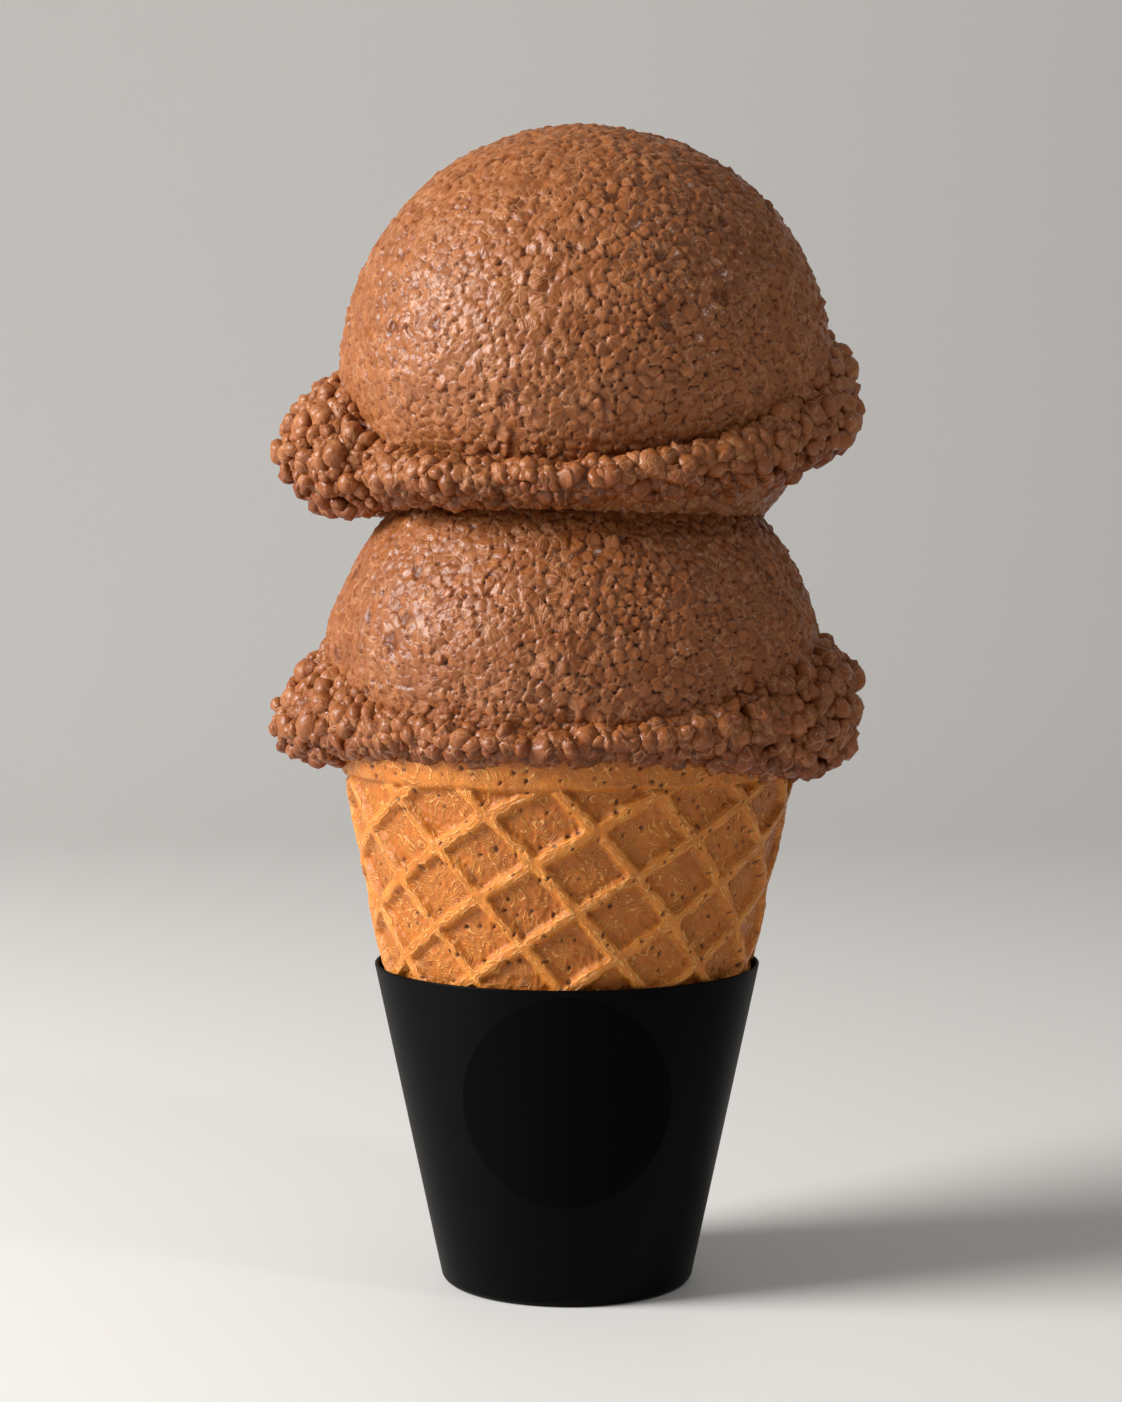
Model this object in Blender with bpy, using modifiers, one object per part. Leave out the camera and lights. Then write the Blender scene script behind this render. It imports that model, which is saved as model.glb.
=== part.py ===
"""Two scoops of chocolate ice cream on a waffle cone that stands in a black tapered holder.

Metres, +Z up. The origin is the middle of the holder's flat base and the front is -Y.
"""

import math

import bmesh
import bpy
from mathutils import Matrix, Vector

GAP = 0.0003  # left between pieces that touch
SEGMENTS = 48  # round each turned piece

# Holder: a thin tapered cup with a flat floor.
HOLDER_HEIGHT = 0.0410
HOLDER_RIM_RADIUS = 0.02455
HOLDER_BASE_RADIUS = 0.0159
HOLDER_WALL = 0.0004
HOLDER_FLOOR = 0.0008
HOLDER_EDGE = 0.0012  # rounding of the bottom edge
HOLDER_TAPER = (HOLDER_RIM_RADIUS - HOLDER_BASE_RADIUS) / HOLDER_HEIGHT

# Sticker: round as seen from the front, wrapped on the holder's wall.
LABEL_RADIUS = 0.0128
LABEL_HEIGHT = 0.0271
LABEL_THICKNESS = 0.0002
LABEL_GAP = 0.0001
LABEL_LOWEST = 0.010  # the shell that it is punched from starts here
LABEL_SEGMENTS = 60

# Waffle cone: CREST is the radius of the ridges, which rises in a straight line.
MOUTH_HEIGHT = 0.0700
MOUTH_CREST = 0.0297
WAFER_TAPER = 0.2015
BAND_HEIGHT = 0.0045
BAND_PROUD = 0.00015
WAFER_WALL = 0.0022  # from the crests to the inside
WAFER_FLOOR = 0.0030
RELIEF_BOTTOM = 0.0385
RELIEF_OVERLAP = 0.0005  # how far the ridged part runs into the band
FOOT_STEP = 0.0005  # the foot inside the holder is this far inside the crests

# Ridge lattice: two families of ridges, which close after one turn.
RISING_RIDGES = 15
FALLING_RIDGES = 11
RISE_PER_CELL = 0.00425
TURN_PER_RISING = math.radians(15.5)
LATTICE_ANGLE = math.radians(-95.0)  # where crossing (0, 0) lies, round from +X
LATTICE_HEIGHT = 0.0664
RELIEF_DEPTH = 0.0008
CREST_HALF_WIDTH = 0.055  # in cells
FLANK_WIDTH = 0.060  # in cells

# Scoops.
LOWER_RADIUS = 0.0312
LOWER_CENTRE = Vector((0.0008, 0.0, 0.0813))
UPPER_RADIUS = 0.0310
UPPER_CENTRE = Vector((0.0024, 0.0, 0.1155))
SCOOP_SEGMENTS = 36
SCOOP_RINGS = 18
MEETING_HEIGHT = 0.1002  # where the scoops press flat against each other
SHOULDER = 1.6  # how the balls slope in towards each other: 2 is round, less is faster
SKIRT_STEPS = 45
SKIRT_SECTION = 10
SKIRT_ROOT = 0.003  # how far a skirt reaches into its ball
RIGHT, BACK, LEFT = 0.0, 90.0, 180.0  # degrees round a skirt; the front is -90


def clear_scene():
    for obj in list(bpy.data.objects):
        bpy.data.objects.remove(obj, do_unlink=True)


def new_collection(name):
    collection = bpy.data.collections.new(name)
    bpy.context.scene.collection.children.link(collection)
    return collection


def material(name, colour, roughness):
    made = bpy.data.materials.new(name)
    made.use_nodes = True
    shader = made.node_tree.nodes["Principled BSDF"]
    shader.inputs["Base Color"].default_value = (*colour, 1.0)
    shader.inputs["Roughness"].default_value = roughness
    shader.inputs["Metallic"].default_value = 0.0
    return made


def add_object(name, mesh, collection, finish=None):
    obj = bpy.data.objects.new(name, mesh)
    collection.objects.link(obj)
    if finish:
        mesh.materials.append(finish)
    return obj


def object_from_bmesh(name, bm, collection, finish=None):
    mesh = bpy.data.meshes.new(name)
    bm.to_mesh(mesh)
    bm.free()
    return add_object(name, mesh, collection, finish)


def as_cutter(obj):
    obj.hide_render = True
    obj.display_type = "WIRE"
    return obj


def smooth(obj, degrees=35.0):
    obj.data.shade_smooth()
    obj.data.set_sharp_from_angle(angle=math.radians(degrees))


def turned(name, profile, collection, finish=None, segments=SEGMENTS):
    """A body turned from (radius, height) points that run up its inside and down its outside.

    A profile that starts on the axis ends there too. Any other is a ring's closed section.
    """
    mesh = bpy.data.meshes.new(name)
    points = [(radius, 0.0, height) for radius, height in profile]
    edges = [(i, i + 1) for i in range(len(points) - 1)]
    if points[0][0] > 0.0:
        edges.append((len(points) - 1, 0))
    mesh.from_pydata(points, edges, [])
    obj = add_object(name, mesh, collection, finish)
    screw = obj.modifiers.new("Turn", "SCREW")
    screw.steps = screw.render_steps = segments
    screw.use_merge_vertices = True
    screw.merge_threshold = 0.00001
    screw.use_smooth_shade = True
    return obj


def boolean(obj, other, operation):
    cut = obj.modifiers.new(operation.title(), "BOOLEAN")
    cut.operation = operation
    cut.solver = "EXACT"
    cut.object = other


def arc(centre, radius, start, end, steps):
    """(radius, height) points along an arc, with angles in degrees from straight out."""
    angles = [math.radians(start + (end - start) * i / steps) for i in range(steps + 1)]
    return [(centre[0] + radius * math.cos(a), centre[1] + radius * math.sin(a)) for a in angles]


def holder_outside(height):
    return HOLDER_BASE_RADIUS + HOLDER_TAPER * height


def holder_inside(height):
    return holder_outside(height) - HOLDER_WALL


def crest_radius(height):
    return MOUTH_CREST - WAFER_TAPER * (MOUTH_HEIGHT - height)


def make_holder(parts, finish):
    lean = math.degrees(math.atan(HOLDER_TAPER))
    lip = HOLDER_WALL / 2
    lip_centre = (HOLDER_RIM_RADIUS - lip, HOLDER_HEIGHT - lip)
    edge_centre = (holder_outside(HOLDER_EDGE) - HOLDER_EDGE, HOLDER_EDGE)
    profile = [(0.0, HOLDER_FLOOR), (holder_inside(HOLDER_FLOOR), HOLDER_FLOOR)]
    profile += arc(lip_centre, lip, 180.0, 0.0, 4)
    profile += arc(edge_centre, HOLDER_EDGE, -lean, -90.0, 4)
    profile += [(0.0, 0.0)]
    return turned("holder", profile, parts, finish)


def make_label(parts, cutters, finish):
    """A thin shell just outside the holder's wall, kept only inside a level round punch."""
    inner = LABEL_GAP
    outer = LABEL_GAP + LABEL_THICKNESS
    bottom, top = LABEL_LOWEST, HOLDER_HEIGHT
    profile = [
        (holder_outside(bottom) + inner, bottom),
        (holder_outside(top) + inner, top),
        (holder_outside(top) + outer, top),
        (holder_outside(bottom) + outer, bottom),
    ]
    label = turned("label", profile, parts, finish, segments=LABEL_SEGMENTS)
    bm = bmesh.new()
    reach = 2 * HOLDER_RIM_RADIUS
    place = Matrix.Translation((0.0, -reach / 2, LABEL_HEIGHT)) @ Matrix.Rotation(math.pi / 2, 4, "X")
    bmesh.ops.create_cone(
        bm,
        cap_ends=True,
        segments=48,
        radius1=LABEL_RADIUS,
        radius2=LABEL_RADIUS,
        depth=reach,
        matrix=place,
    )
    punch = as_cutter(object_from_bmesh("label_punch", bm, cutters))
    boolean(label, punch, "INTERSECT")
    return label


def lattice_place(across, along):
    """Angle and height of the lattice point that is this many cells across and along."""
    turn_per_falling = (2 * math.pi - RISING_RIDGES * TURN_PER_RISING) / FALLING_RIDGES
    drop_per_cell = RISE_PER_CELL * RISING_RIDGES / FALLING_RIDGES
    angle = LATTICE_ANGLE + across * TURN_PER_RISING + along * turn_per_falling
    return angle, LATTICE_HEIGHT + across * RISE_PER_CELL - along * drop_per_cell


def lattice_sheet(bottom, top):
    """The unrolled ridge pattern: x is the angle, y the height and z the depth below the crests."""
    drop_per_cell = RISE_PER_CELL * RISING_RIDGES / FALLING_RIDGES
    first = math.floor((LATTICE_HEIGHT - top) / drop_per_cell)
    last = math.ceil((LATTICE_HEIGHT + RISING_RIDGES * RISE_PER_CELL - bottom) / drop_per_cell)
    rows = last - first
    bm = bmesh.new()
    to_cells = Matrix.Translation((RISING_RIDGES / 2, first + rows / 2, 0.0)) @ Matrix.Diagonal(
        (RISING_RIDGES, rows, 1.0, 1.0)
    )
    bmesh.ops.create_grid(
        bm, x_segments=2 * RISING_RIDGES, y_segments=2 * rows, size=0.5, matrix=to_cells
    )
    cells = {}
    for face in bm.faces:
        middle = face.calc_center_median()
        cells.setdefault((math.floor(middle.x), math.floor(middle.y)), []).append(face)
    for faces in cells.values():
        for width, depth in ((CREST_HALF_WIDTH, 0.0), (FLANK_WIDTH, -RELIEF_DEPTH)):
            bmesh.ops.inset_region(
                bm, faces=faces, thickness=width, depth=depth, use_boundary=True, use_even_offset=True
            )
    for vertex in bm.verts:
        vertex.co.x, vertex.co.y = lattice_place(vertex.co.x, vertex.co.y)
    for height, side in ((bottom, -1.0), (top, 1.0)):
        bmesh.ops.bisect_plane(
            bm,
            geom=[*bm.verts, *bm.edges, *bm.faces],
            plane_co=(0.0, height, 0.0),
            plane_no=(0.0, side, 0.0),
            clear_outer=True,
        )
    return bm


def make_ridges(cutters):
    """The ridged stretch of the cone as a solid plug: the sheet wrapped round and capped."""
    top = MOUTH_HEIGHT - BAND_HEIGHT + RELIEF_OVERLAP
    bm = lattice_sheet(RELIEF_BOTTOM, top)
    for vertex in bm.verts:
        angle, height, depth = vertex.co
        radius = crest_radius(height) + depth
        vertex.co = (radius * math.cos(angle), radius * math.sin(angle), height)
    bmesh.ops.remove_doubles(bm, verts=bm.verts, dist=1e-6)
    open_edges = [edge for edge in bm.edges if edge.is_boundary]
    bmesh.ops.edgenet_fill(bm, edges=open_edges)
    bmesh.ops.recalc_face_normals(bm, faces=bm.faces)
    return as_cutter(object_from_bmesh("ridges", bm, cutters))


def make_wafer(parts, cutters, finish):
    """Foot and band turned in one, joined to the ridged stretch and hollowed from the top."""
    foot = HOLDER_FLOOR + GAP
    foot_top = RELIEF_BOTTOM + 2 * RELIEF_OVERLAP
    band_bottom = MOUTH_HEIGHT - BAND_HEIGHT
    core = crest_radius(foot_top) - WAFER_WALL / 2
    outside = [
        (0.0, MOUTH_HEIGHT),
        (MOUTH_CREST + BAND_PROUD, MOUTH_HEIGHT),
        (crest_radius(band_bottom) + BAND_PROUD, band_bottom),
        (core, band_bottom),
        (core, foot_top),
        (crest_radius(foot_top) - FOOT_STEP, foot_top),
        (holder_inside(foot) - GAP - FOOT_STEP, foot),
        (0.0, foot),
    ]
    wafer = turned("waffle_cone", outside, parts, finish)
    boolean(wafer, make_ridges(cutters), "UNION")
    floor = foot + WAFER_FLOOR
    above = MOUTH_HEIGHT + 0.002
    hollow = [
        (0.0, above),
        (crest_radius(above) - WAFER_WALL, above),
        (crest_radius(RELIEF_BOTTOM) - WAFER_WALL, RELIEF_BOTTOM),
        (holder_inside(floor) - GAP - WAFER_WALL, floor),
        (0.0, floor),
    ]
    boolean(wafer, as_cutter(turned("wafer_hollow", hollow, cutters)), "DIFFERENCE")
    return wafer


def bump(angle, middle, width):
    """1 at the middle angle, falling away to 0 on both sides, in degrees round the ring."""
    apart = (angle - middle + 180.0) % 360.0 - 180.0
    return math.exp(-((apart / width) ** 2))


def lower_skirt(angle):
    """Top, bottom and outer radius of the lower scoop's skirt at this angle."""
    top = 0.0725 + 0.0075 * bump(angle, LEFT, 40) + 0.0092 * bump(angle, -5, 45)
    bottom = 0.0686 - 0.0010 * bump(angle, LEFT, 30) - 0.0029 * bump(angle, -30, 22)
    outer = 0.0326 + 0.0070 * bump(angle, LEFT, 26) + 0.0038 * bump(angle, -8, 40)
    return top + 0.0015 * bump(angle, BACK, 50), bottom, outer


def upper_skirt(angle):
    """The same for the upper scoop, whose skirt climbs from the left lobe to the right."""
    top = 0.1034 + 0.0112 * bump(angle, LEFT, 30) + 0.0164 * bump(angle, 5, 48)
    bottom = 0.1000 - 0.0022 * bump(angle, LEFT, 38) + 0.0068 * bump(angle, 5, 44)
    outer = 0.0316 + 0.0074 * bump(angle, LEFT, 28) + 0.0036 * bump(angle, RIGHT, 46)
    return top + 0.0030 * bump(angle, BACK, 45), bottom, outer


def lower_section(angle):
    """How pointed the lower skirt's section is (1 is oval) and how far its bulge sags."""
    point = 1.0 + 0.30 * bump(angle, LEFT, 35) - 0.28 * bump(angle, -5, 40)
    return point, 0.30 * bump(angle, LEFT, 35)


def upper_section(angle):
    point = 1.0 + 0.30 * bump(angle, LEFT, 35) + 0.20 * bump(angle, 5, 45)
    return point, 0.12 * bump(angle, LEFT, 35)


def ruffle(angle):
    """Small uneven waves along a skirt's outer edge."""
    turn = math.radians(angle)
    return 0.00030 * math.cos(11 * turn + 1.0) + 0.00025 * math.cos(17 * turn + 0.4)


def make_skirt(name, skirt, section_shape, centre, ball_radius, cutters):
    """A fat ring round the ball, whose section follows the skirt's measures."""
    bm = bmesh.new()
    ring = bmesh.ops.create_circle(bm, segments=SKIRT_SECTION, radius=1.0)["verts"]
    edges = list({edge for vertex in ring for edge in vertex.link_edges})
    section = Matrix.Translation((4.0, 0.0, 0.0)) @ Matrix.Rotation(math.pi / 2, 4, "X")
    bmesh.ops.transform(bm, matrix=section, verts=ring)
    bmesh.ops.spin(
        bm, geom=ring + edges, cent=(0, 0, 0), axis=(0, 0, 1), angle=math.tau, steps=SKIRT_STEPS,
        use_merge=True,
    )
    for vertex in bm.verts:
        angle = math.degrees(math.atan2(vertex.co.y, vertex.co.x))
        out, up = vertex.co.xy.length - 4.0, vertex.co.z
        top, bottom, outer = skirt(angle)
        point, sag = section_shape(angle)
        out, up = (math.copysign(abs(part) ** point, part) for part in (out, up))
        height = (top + bottom) / 2 + (up - sag * max(out, 0.0)) * (top - bottom) / 2
        inner = sloped_radius((top + bottom) / 2 - centre.z, ball_radius) - SKIRT_ROOT
        radius = (outer + inner) / 2 + out * (outer - inner) / 2 + max(out, 0.0) * ruffle(angle)
        turn = math.radians(angle)
        vertex.co = (centre.x + radius * math.cos(turn), centre.y + radius * math.sin(turn), height)
    bmesh.ops.recalc_face_normals(bm, faces=bm.faces)
    return as_cutter(object_from_bmesh(name, bm, cutters))


def sloped_radius(away, radius):
    """A sloping ball's radius at this height away from its middle."""
    share = min(1.0, abs(away) / radius)
    return radius * (1.0 - share**SHOULDER) ** (1.0 / SHOULDER)


def make_ball(name, centre, radius, parts, finish):
    bm = bmesh.new()
    bmesh.ops.create_uvsphere(
        bm,
        u_segments=SCOOP_SEGMENTS,
        v_segments=SCOOP_RINGS,
        radius=radius,
        matrix=Matrix.Translation(centre),
    )
    return object_from_bmesh(name, bm, parts, finish)


def slope_half(ball, centre, radius, side):
    """Draws the half of a ball above (side 1) or below (side -1) its middle in to its slope."""
    for vertex in ball.data.vertices:
        out = vertex.co.xy - centre.xy
        away = side * (vertex.co.z - centre.z)
        if away > 1e-5 and out.length > 1e-6:
            vertex.co.xy = centre.xy + out.normalized() * sloped_radius(away, radius)


def make_lower_scoop(parts, cutters, finish):
    """A ball squeezed into the cone's mouth, with a flat top and a skirt over the wafer's rim."""
    scoop = make_ball("lower_scoop", LOWER_CENTRE, LOWER_RADIUS, parts, finish)
    slope_half(scoop, LOWER_CENTRE, LOWER_RADIUS, 1)
    skirt = make_skirt(
        "lower_skirt", lower_skirt, lower_section, LOWER_CENTRE, LOWER_RADIUS, cutters
    )
    boolean(scoop, skirt, "UNION")
    low = MOUTH_HEIGHT - 0.030
    rim = MOUTH_HEIGHT + GAP
    wall = [
        (crest_radius(low) - WAFER_WALL - GAP, low),
        (crest_radius(rim) - WAFER_WALL - GAP, rim),
        (crest_radius(rim) + BAND_PROUD + GAP, rim),
        (crest_radius(low) + BAND_PROUD + GAP, low),
    ]
    boolean(scoop, as_cutter(turned("mouth_wall", wall, cutters)), "DIFFERENCE")
    top = MEETING_HEIGHT - GAP / 2
    above = [
        (0.0, top + LOWER_RADIUS),
        (LOWER_RADIUS, top + LOWER_RADIUS),
        (LOWER_RADIUS, top),
        (0.0, top),
    ]
    boolean(scoop, as_cutter(turned("flat_top", above, cutters)), "DIFFERENCE")
    return scoop


def make_upper_scoop(parts, cutters, finish):
    """A ball pressed on the lower one, with a skirt that hangs a little way over it."""
    scoop = make_ball("upper_scoop", UPPER_CENTRE, UPPER_RADIUS, parts, finish)
    slope_half(scoop, UPPER_CENTRE, UPPER_RADIUS, -1)
    skirt = make_skirt(
        "upper_skirt", upper_skirt, upper_section, UPPER_CENTRE, UPPER_RADIUS, cutters
    )
    boolean(scoop, skirt, "UNION")
    top = MEETING_HEIGHT + GAP / 2
    heights = [top + (LOWER_CENTRE.z - top) * step / 8 for step in range(9)]
    seat = [
        (sloped_radius(height - LOWER_CENTRE.z, LOWER_RADIUS) + 1.3 * GAP, height)
        for height in heights
    ]
    seat = [(0.0, top), *seat, (0.0, LOWER_CENTRE.z)]
    cutter = as_cutter(turned("lower_scoop_seat", seat, cutters))
    cutter.location = (LOWER_CENTRE.x, LOWER_CENTRE.y, 0.0)
    boolean(scoop, cutter, "DIFFERENCE")
    return scoop


def main():
    clear_scene()
    parts = new_collection("ice_cream_cone")
    cutters = new_collection("cutters")
    black = material("satin_black", (0.012, 0.013, 0.014), 0.38)
    paper = material("black_paper", (0.002, 0.002, 0.002), 0.60)
    baked = material("baked_wafer", (0.62, 0.27, 0.055), 0.55)
    lower = material("chocolate_ice_cream", (0.19, 0.082, 0.048), 0.45)
    upper = material("pale_chocolate_ice_cream", (0.25, 0.11, 0.058), 0.45)
    made = [
        make_holder(parts, black),
        make_label(parts, cutters, paper),
        make_wafer(parts, cutters, baked),
        make_lower_scoop(parts, cutters, lower),
        make_upper_scoop(parts, cutters, upper),
    ]
    for obj in made:
        smooth(obj)


main()
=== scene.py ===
"""Two scoops of chocolate ice cream on a waffle cone in a black holder, on the shared CAD frame.

Metres, +Z up, front -Y. Lengths written with MM are millimetres.
"""

import math

import bmesh
import bpy
import numpy as np
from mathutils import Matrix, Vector, kdtree

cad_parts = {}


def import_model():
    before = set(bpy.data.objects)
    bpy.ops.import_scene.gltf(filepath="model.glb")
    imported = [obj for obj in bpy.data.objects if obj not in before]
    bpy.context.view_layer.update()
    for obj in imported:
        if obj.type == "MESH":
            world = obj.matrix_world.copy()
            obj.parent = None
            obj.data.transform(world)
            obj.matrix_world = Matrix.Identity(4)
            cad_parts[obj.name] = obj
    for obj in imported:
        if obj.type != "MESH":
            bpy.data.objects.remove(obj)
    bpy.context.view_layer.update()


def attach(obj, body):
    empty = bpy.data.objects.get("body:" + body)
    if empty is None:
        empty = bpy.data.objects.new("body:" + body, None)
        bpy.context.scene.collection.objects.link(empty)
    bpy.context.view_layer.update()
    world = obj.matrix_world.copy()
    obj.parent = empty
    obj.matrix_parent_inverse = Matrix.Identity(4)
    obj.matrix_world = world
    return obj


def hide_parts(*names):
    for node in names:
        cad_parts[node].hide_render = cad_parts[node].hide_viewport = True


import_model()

MM = 0.001
RANDOM = np.random.default_rng(11)
RIGHT, BACK, LEFT, FRONT = 0.0, 90.0, 180.0, -90.0  # degrees round the vertical

# Holder and sticker.
HOLDER_HEIGHT = 41.0 * MM
HOLDER_RIM = 24.55 * MM
HOLDER_BASE = 15.9 * MM
HOLDER_WALL = 0.4 * MM
HOLDER_FLOOR = 0.8 * MM
HOLDER_EDGE = 1.2 * MM
STICKER_RADIUS = 12.8 * MM
STICKER_HEIGHT = 26.6 * MM
STICKER_STRETCH = 1.04  # up the slanted wall

# Wafer.
MOUTH_HEIGHT = 70.0 * MM
MOUTH_CREST = 29.7 * MM
WAFER_TAPER = 0.2015
WAFER_LEAN = 0.012  # sideways for each unit of height above the holder
BAND_HEIGHT = 4.5 * MM
WAFER_WALL = 2.2 * MM
WAFER_FLOOR = 3.0 * MM
RELIEF_BOTTOM = 38.5 * MM
RELIEF_DEPTH = 1.0 * MM
RISING_RIDGES = 15
FALLING_RIDGES = 11
RISE_PER_CELL = 4.25 * MM
TURN_PER_RISING = math.radians(15.5)
LATTICE_ANGLE = math.radians(-95.0)
LATTICE_HEIGHT = 66.4 * MM

# Scoops.
LOWER_RADIUS = 31.1 * MM
LOWER_CENTRE = np.array((0.8, 0.0, 81.3)) * MM
UPPER_RADIUS = 30.9 * MM
UPPER_CENTRE = np.array((2.4, 0.0, 115.5)) * MM
MEETING_HEIGHT = 100.2 * MM
SHOULDER = 1.6  # how the balls slope in towards each other: 2 is round, less is faster
SKIRT_ROOT = 3.0 * MM
UPPER_NOTCH = -151.0  # degrees; here the front ruffle ends before the left lobe
LOWER_FOOT = 71.0 * MM  # the lower ball's flat bottom, just above the wafer's mouth
LOWER_SINK, UPPER_SINK = 0.8 * MM, 2.4 * MM  # how far each ball reaches past the meeting height
LOWER_SQUARES, UPPER_SQUARES = 158, 142  # a ball's squares along each side of its cube
GRANULE_GAP = 1.22 * MM
GRANULE_DEPTH = 0.38 * MM
LOWER_GRAIN, UPPER_GRAIN = 1.70 * MM, 1.60 * MM  # spacing of the lumps that make up a skirt
LOWER_CRUMB, UPPER_CRUMB = 1.85 * MM, 1.70 * MM  # widest spacing of the globules on it

# Colours. An ice cream has one for its hollows, which is painted shade, one for its body and one for
# its tops.
CHOCOLATE = ((0.034, 0.007, 0.001), (0.190, 0.044, 0.0060), (0.300, 0.095, 0.0240))
PALE_CHOCOLATE = ((0.038, 0.009, 0.001), (0.205, 0.049, 0.0065), (0.325, 0.110, 0.0310))
# Pale lines along the granule edges, a painted highlight.
PAINTED_HIGHLIGHT_COLOUR = (0.52, 0.245, 0.110)
BAKED_COLOURS = ((0.35, 0.092, 0.008), (0.51, 0.148, 0.012), (0.73, 0.262, 0.036))
MOTTLE_COLOUR = (0.34, 0.090, 0.010)
STRING_COLOUR = (0.84, 0.42, 0.115)
# Nearly black, painted shade inside the wafer's pores.
PORE_SHADE_COLOUR = (0.075, 0.016, 0.003)
HOLDER_COLOUR = (0.0009, 0.0009, 0.0010)
STICKER_COLOUR = (0.0006, 0.0006, 0.0006)
FLOOR_COLOUR = (0.74, 0.72, 0.69)

# Camera and lamps, in metres and watts.
CAMERA_PLACE, CAMERA_TARGET = (-0.00076, -0.381, 0.0997), (-0.00076, 0.0, 0.0742)
CAMERA_LENS = 77.03
WORLD_STRENGTH = 0.23
LAMP_TARGET = (0.0, 0.0, 0.085)
LAMPS = (  # name, place, size, power
    ("key", (-0.67, -0.22, 0.42), 0.40, 11.0),
    ("glint", (0.32, -0.30, 0.50), 0.07, 0.38),
)


# Numbers and noise.


def smoothstep(low, high, value):
    share = np.clip((value - low) / (high - low), 0.0, 1.0)
    return share * share * (3.0 - 2.0 * share)


def bump(angle, middle, width):
    """One in the middle and falling off over a width, all in degrees."""
    away = (angle - middle + 180.0) % 360.0 - 180.0
    return np.exp(-((away / width) ** 2))


SHUFFLE = np.random.default_rng(3).permutation(256)
SLOPES = np.random.default_rng(4).normal(size=(256, 3))
SLOPES /= np.linalg.norm(SLOPES, axis=1)[:, None]


def noise(points, size, seed=0):
    """Smooth noise of about -1 to 1 whose features have the given size."""
    place = points / size + 19.37 * (seed + 1)
    cell = np.floor(place).astype(int)
    part = place - cell
    ease = part**3 * (part * (part * 6.0 - 15.0) + 10.0)
    total = np.zeros(len(points))
    for corner in np.ndindex(2, 2, 2):
        where = (cell + corner) & 255
        pick = SHUFFLE[(SHUFFLE[(SHUFFLE[where[:, 0]] + where[:, 1]) & 255] + where[:, 2]) & 255]
        weight = np.prod(np.where(corner, ease, 1.0 - ease), axis=1)
        total += weight * np.einsum("ij,ij->i", part - corner, SLOPES[pick])
    return total * 1.6


def noise_vector(points, size, seed=0):
    return np.stack([noise(points, size, seed + 7 * k) for k in range(3)], axis=1)


def tree_of(points):
    tree = kdtree.KDTree(len(points))
    for i, point in enumerate(points.tolist()):
        tree.insert(point, i)
    tree.balance()
    return tree


def spaced(points, gaps):
    """Indices of the points kept, in turn, that no point kept before has within its gap."""
    tree = tree_of(points)
    free = np.ones(len(points), bool)
    kept = []
    for i, (point, gap) in enumerate(zip(points.tolist(), gaps.tolist())):
        if free[i]:
            kept.append(i)
            for _, j, _ in tree.find_range(point, gap):
                free[j] = False
    return kept


# Meshes.


def closed_turns(count, denser=0.3):
    """Angles all round, closer together at the front."""
    turn = np.linspace(-math.pi, math.pi, count, endpoint=False)
    return math.radians(FRONT) + turn - denser * np.sin(turn)


def grid_faces(rows, columns, closed_rows):
    row = np.arange(rows if closed_rows else rows - 1)[:, None]
    column = np.arange(columns)[None, :]
    above, beside = (row + 1) % rows, (column + 1) % columns
    corners = (
        row * columns + column,
        row * columns + beside,
        above * columns + beside,
        above * columns + column,
    )
    return np.stack([np.broadcast_to(c, (len(row), columns)) for c in corners], axis=2).reshape(-1, 4)


def mesh_object(name, points, faces, finish, fields=None, sharp=180.0):
    mesh = bpy.data.meshes.new(name)
    mesh.from_pydata(points.tolist(), [], faces)
    bm = bmesh.new()
    bm.from_mesh(mesh)
    bmesh.ops.recalc_face_normals(bm, faces=bm.faces)
    bm.to_mesh(mesh)
    bm.free()
    for field, values in (fields or {}).items():
        made = mesh.attributes.new(field, "FLOAT", "POINT")
        made.data.foreach_set("value", np.asarray(values, np.float32))
    mesh.shade_smooth()
    if sharp < 180.0:
        mesh.set_sharp_from_angle(angle=math.radians(sharp))
    mesh.materials.append(finish)
    obj = bpy.data.objects.new(name, mesh)
    bpy.context.scene.collection.objects.link(obj)
    return obj


def turned(name, profile, columns, finish, sharp=40.0):
    """A closed body turned from (radius, height) points that start and end on the axis."""
    ring = np.array(profile[1:-1])
    turn = closed_turns(columns, 0.0)
    points = np.stack(
        [
            ring[:, :1] * np.cos(turn)[None, :],
            ring[:, :1] * np.sin(turn)[None, :],
            np.repeat(ring[:, 1:], columns, axis=1),
        ],
        axis=2,
    ).reshape(-1, 3)
    faces = grid_faces(len(ring), columns, False).tolist()
    last = (len(ring) - 1) * columns
    for start, centre in ((0, len(points)), (last, len(points) + 1)):
        faces += [(start + i, start + (i + 1) % columns, centre) for i in range(columns)]
    ends = [(0.0, 0.0, profile[0][1]), (0.0, 0.0, profile[-1][1])]
    return mesh_object(name, np.vstack([points, ends]), faces, finish, sharp=sharp)


def arc(centre, radius, start, end, steps):
    angles = [math.radians(start + (end - start) * i / steps) for i in range(steps + 1)]
    return [(centre[0] + radius * math.cos(a), centre[1] + radius * math.sin(a)) for a in angles]


def grid_normals(points):
    """Outward normals of a grid of rows of points that closes both ways."""
    along = np.roll(points, -1, axis=1) - np.roll(points, 1, axis=1)
    up = np.roll(points, -1, axis=0) - np.roll(points, 1, axis=0)
    normal = np.cross(along, up)
    return normal / np.maximum(np.linalg.norm(normal, axis=2), 1e-12)[:, :, None]


# Materials.


def new_material(name):
    made = bpy.data.materials.new(name)
    made.use_nodes = True
    tree = made.node_tree
    return made, tree, tree.nodes["Principled BSDF"]


def attribute(tree, name):
    node = tree.nodes.new("ShaderNodeAttribute")
    node.attribute_name = name
    return node.outputs["Fac"]


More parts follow.
